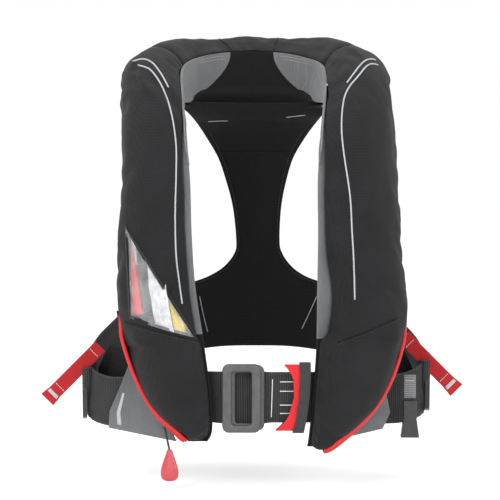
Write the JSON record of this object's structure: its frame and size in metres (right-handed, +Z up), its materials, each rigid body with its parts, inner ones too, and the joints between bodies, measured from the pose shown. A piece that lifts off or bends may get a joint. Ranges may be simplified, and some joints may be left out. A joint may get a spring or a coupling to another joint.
{
  "type": "inflatable life jacket",
  "caption": "Packed inflatable life jacket: padded horseshoe cover with collar, back yoke, waist webbing with frame buckle, harness loop, pull toggle and inspection window.",
  "frame": {"origin": "middle of the neck opening, 34 mm below the top of the collar, where the collar rests round the wearer's neck", "axes": "+Z up along the wearer's spine, -Y forward out of the wearer's chest, +X to the wearer's left"},
  "size_m": [0.4654, 0.2323, 0.4577],
  "materials": {
    "fabric_black": "matt ripstop weave",
    "fabric_grey": "matt knitted lining",
    "webbing_black": "ribbed webbing",
    "webbing_grey": "flat webbing",
    "webbing_red": "satin webbing",
    "bladder": "coated cloth",
    "plastic_grey": "satin",
    "plastic_black": "moulded",
    "plastic_red": "moulded",
    "clear_film": "clear",
    "cylinder_steel": "zinc plated"
  },
  "bodies": {
    "jacket": {"right_lobe_cover": "fabric_black", "left_lobe_cover": "fabric_black", "collar_cover": "fabric_black", "collar_liner": "fabric_black", "nape_panel": "fabric_black", "back_yoke": "fabric_black", "back_band": "fabric_black", "right_lobe_liner": "fabric_grey", "left_lobe_liner": "fabric_grey", "right_collar_lining": "fabric_grey", "left_collar_lining": "fabric_grey", "right_side_wing": "fabric_grey", "left_side_wing": "fabric_grey", "right_side_belt": "webbing_black", "left_side_belt": "webbing_black", "right_front_belt": "webbing_black", "left_front_belt": "webbing_black", "right_piping": "webbing_red", "left_piping": "webbing_red", "right_air_chamber": "bladder", "left_air_chamber": "bladder", "collar_air_chamber": "bladder", "buckle_back_frame": "plastic_grey", "inflator_body": "plastic_grey", "right_zip": "plastic_black", "left_zip": "plastic_black", "inflator_cap": "plastic_black", "oral_tube": "plastic_black", "whistle": "plastic_red", "window_pane": "clear_film", "gas_cylinder": "cylinder_steel"},
    "front_frame": {"buckle_front_frame": "plastic_grey"},
    "loop": {"harness_loop": "webbing_black", "harness_loop_lining": "webbing_red"},
    "adjuster_right": {"right_adjuster": "plastic_black"},
    "adjuster_left": {"left_adjuster": "plastic_black"},
    "tab_right": {"right_pull_tab": "webbing_red"},
    "tab_left": {"left_pull_tab": "webbing_red"},
    "toggle": {"pull_toggle": "plastic_red", "pull_cord": "webbing_black"},
    "lever": {"firing_lever": "plastic_black"},
    "mouthpiece_cap": {"oral_cap": "plastic_red"},
    "hanger": {"leg_strap_hanger": "webbing_grey"},
    "socket": {"leg_strap_socket": "plastic_black"}
  },
  "joints": [
    {"name": "front_frame_tilt", "type": "hinge", "parent": "jacket", "child": "front_frame", "pos_m": [-0.02979, -0.10639, -0.33746], "axis": [0, 0, 1], "range_deg": [-60, 0]},
    {"name": "harness_loop_shift", "type": "slide", "parent": "jacket", "child": "loop", "axis": [1, 0, 0], "range_m": [-0.01, 0]},
    {"name": "right_adjuster_slide", "type": "slide", "parent": "jacket", "child": "adjuster_right", "axis": [-0.0977, -0.8563, -0.5072], "range_m": [-0.003, 0.006]},
    {"name": "left_adjuster_slide", "type": "slide", "parent": "jacket", "child": "adjuster_left", "axis": [0.0798, -0.8746, -0.4782], "range_m": [0, 0.006]},
    {"name": "right_tab_swing", "type": "hinge", "parent": "adjuster_right", "child": "tab_right", "pos_m": [-0.18275, -0.02469, -0.31414], "axis": [0, 1, 0], "range_deg": [-30, 25], "stiffness_Nm_per_rad": 0.01},
    {"name": "left_tab_swing", "type": "hinge", "parent": "adjuster_left", "child": "tab_left", "pos_m": [0.19181, -0.02279, -0.30462], "axis": [0, 1, 0], "range_deg": [-25, 30], "stiffness_Nm_per_rad": 0.01},
    {"name": "toggle_pull", "type": "slide", "parent": "jacket", "child": "toggle", "axis": [0.2088, -0.0416, -0.9771], "range_m": [0, 0.012]},
    {"name": "lever_throw", "type": "hinge", "parent": "jacket", "child": "lever", "pos_m": [-0.10975, -0.0878, -0.25941], "axis": [-0.537, -0.8434, 0.0171], "range_deg": [-42, 0]},
    {"name": "oral_cap_pull", "type": "slide", "parent": "jacket", "child": "mouthpiece_cap", "axis": [0.0018, 0.1088, 0.9941], "range_m": [0, 0.01]},
    {"name": "hanger_swing", "type": "hinge", "parent": "jacket", "child": "hanger", "pos_m": [0.16111, -0.06457, -0.3189], "axis": [1, 0, 0], "range_deg": [-25, 4]},
    {"name": "socket_swing", "type": "hinge", "parent": "hanger", "child": "socket", "pos_m": [0.16111, -0.06457, -0.3434], "axis": [1, 0, 0], "range_deg": [-22, 8]}
  ],
  "couplings": [
    {"joint": "lever_throw", "follows": "toggle_pull", "rad_per_m": -60}
  ]
}
